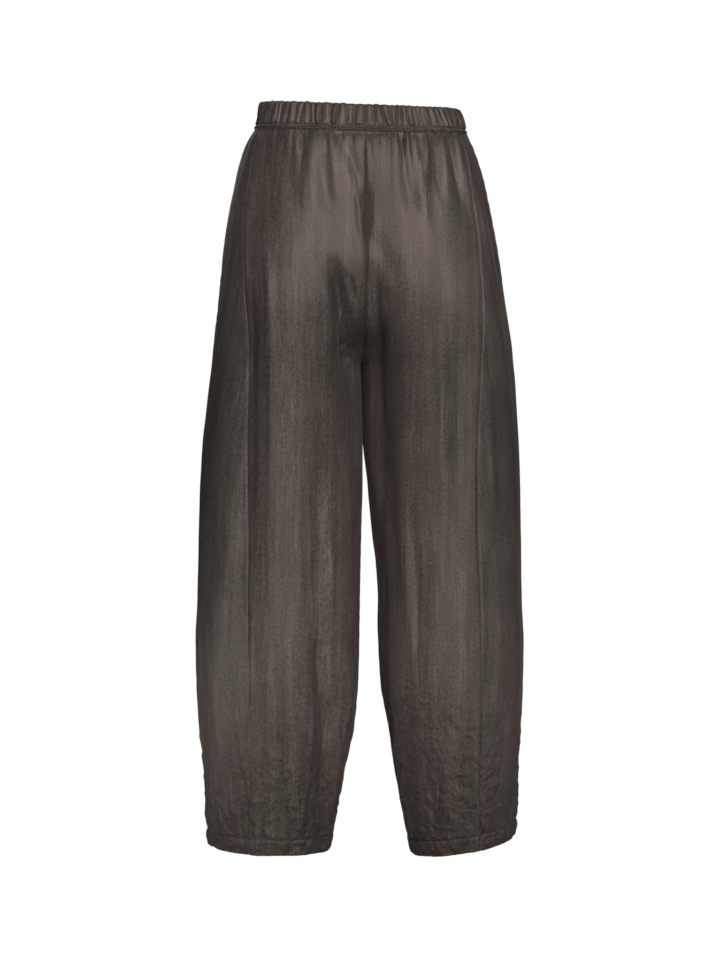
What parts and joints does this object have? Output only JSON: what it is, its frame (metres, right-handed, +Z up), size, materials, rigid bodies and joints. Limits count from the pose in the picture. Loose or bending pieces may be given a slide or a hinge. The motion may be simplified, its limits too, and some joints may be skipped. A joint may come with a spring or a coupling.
{
  "type": "barrel-leg pull-on trousers",
  "caption": "Wide barrel-leg trousers with a gathered elastic waistband and seamed side panels, filled out and hollow as when worn, open at the waist and hems.",
  "frame": {"origin": "middle of the waist opening, half way up the elastic waistband at the sides of the body", "axes": "+Z up, -Y the way the back of the trousers faces, +X towards the wearer's right leg"},
  "size_m": [0.422, 0.2411, 0.957],
  "materials": {
    "waistband": "dark taupe satin with fine upright slub streaks",
    "back_left": "dark taupe satin with fine upright slub streaks",
    "side_left": "dark taupe satin with fine upright slub streaks",
    "front_left": "dark taupe satin with fine upright slub streaks",
    "pocket_facing_left": "matt dark taupe cloth",
    "back_right": "dark taupe satin with fine upright slub streaks",
    "side_right": "dark taupe satin with fine upright slub streaks",
    "front_right": "dark taupe satin with fine upright slub streaks",
    "pocket_facing_right": "matt dark taupe cloth"
  },
  "bodies": {
    "root": {"waistband": "waistband", "back_left": "back_left", "side_left": "side_left", "front_left": "front_left", "pocket_facing_left": "pocket_facing_left", "back_right": "back_right", "side_right": "side_right", "front_right": "front_right", "pocket_facing_right": "pocket_facing_right"}
  },
  "joints": []
}
